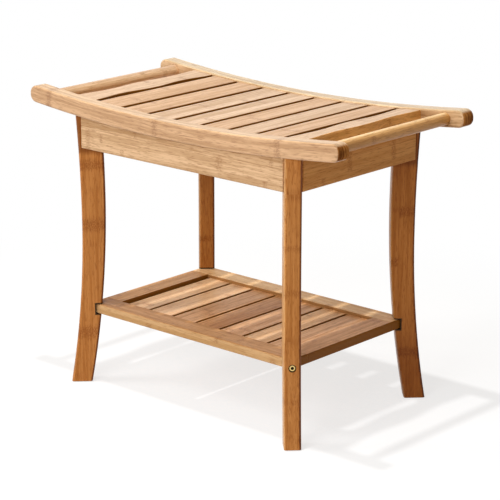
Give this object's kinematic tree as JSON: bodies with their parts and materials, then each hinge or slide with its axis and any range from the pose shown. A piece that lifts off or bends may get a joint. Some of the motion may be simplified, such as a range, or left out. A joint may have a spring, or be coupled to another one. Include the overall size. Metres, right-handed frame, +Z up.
{
  "type": "shower stool",
  "caption": "Bamboo shower stool with a dished slatted seat, round handle rods at its ends, curved legs set on the corner diagonals and a slatted shelf bolted between them.",
  "frame": {"origin": "on the floor, below the middle of the seat", "axes": "+X along the seat to the right as seen from the front, +Y to the back, +Z up"},
  "size_m": [0.61, 0.323, 0.4596],
  "materials": {
    "seat_rail_bamboo": "clear satin lacquer",
    "seat_slat_bamboo": "clear satin lacquer",
    "handle_rod_bamboo": "clear satin lacquer",
    "apron_bamboo": "clear satin lacquer",
    "leg_bamboo": "clear satin lacquer",
    "shelf_frame_bamboo": "clear satin lacquer",
    "shelf_slat_bamboo": "clear satin lacquer",
    "corner_block_wood": "planed, unlacquered",
    "dowel_wood": "turned, unlacquered",
    "bolt_brass": "brass plated",
    "insert_brass": "turned",
    "foot_rubber": "matte"
  },
  "bodies": {
    "root": {"front_seat_rail": "seat_rail_bamboo", "rear_seat_rail": "seat_rail_bamboo", "seat_slat_1": "seat_slat_bamboo", "seat_slat_2": "seat_slat_bamboo", "seat_slat_3": "seat_slat_bamboo", "seat_slat_4": "seat_slat_bamboo", "seat_slat_5": "seat_slat_bamboo", "seat_slat_6": "seat_slat_bamboo", "seat_slat_7": "seat_slat_bamboo", "seat_slat_8": "seat_slat_bamboo", "seat_slat_9": "seat_slat_bamboo", "left_handle_rod": "handle_rod_bamboo", "right_handle_rod": "handle_rod_bamboo", "front_apron": "apron_bamboo", "rear_apron": "apron_bamboo", "left_end_apron": "apron_bamboo", "right_end_apron": "apron_bamboo", "front_left_leg": "leg_bamboo", "front_right_leg": "leg_bamboo", "rear_left_leg": "leg_bamboo", "rear_right_leg": "leg_bamboo", "shelf_front_rail": "shelf_frame_bamboo", "shelf_rear_rail": "shelf_frame_bamboo", "shelf_left_stile": "shelf_frame_bamboo", "shelf_right_stile": "shelf_frame_bamboo", "shelf_slat_1": "shelf_slat_bamboo", "shelf_slat_2": "shelf_slat_bamboo", "shelf_slat_3": "shelf_slat_bamboo", "shelf_slat_4": "shelf_slat_bamboo", "shelf_slat_5": "shelf_slat_bamboo", "shelf_slat_6": "shelf_slat_bamboo", "shelf_slat_7": "shelf_slat_bamboo", "corner_block_front_left": "corner_block_wood", "corner_block_front_right": "corner_block_wood", "corner_block_rear_left": "corner_block_wood", "corner_block_rear_right": "corner_block_wood", "rail_dowels": "dowel_wood", "shelf_bolts": "bolt_brass", "leg_bolts": "bolt_brass", "shelf_insert_nuts": "insert_brass", "leg_insert_nuts": "insert_brass", "foot_pads": "foot_rubber"}
  },
  "joints": []
}
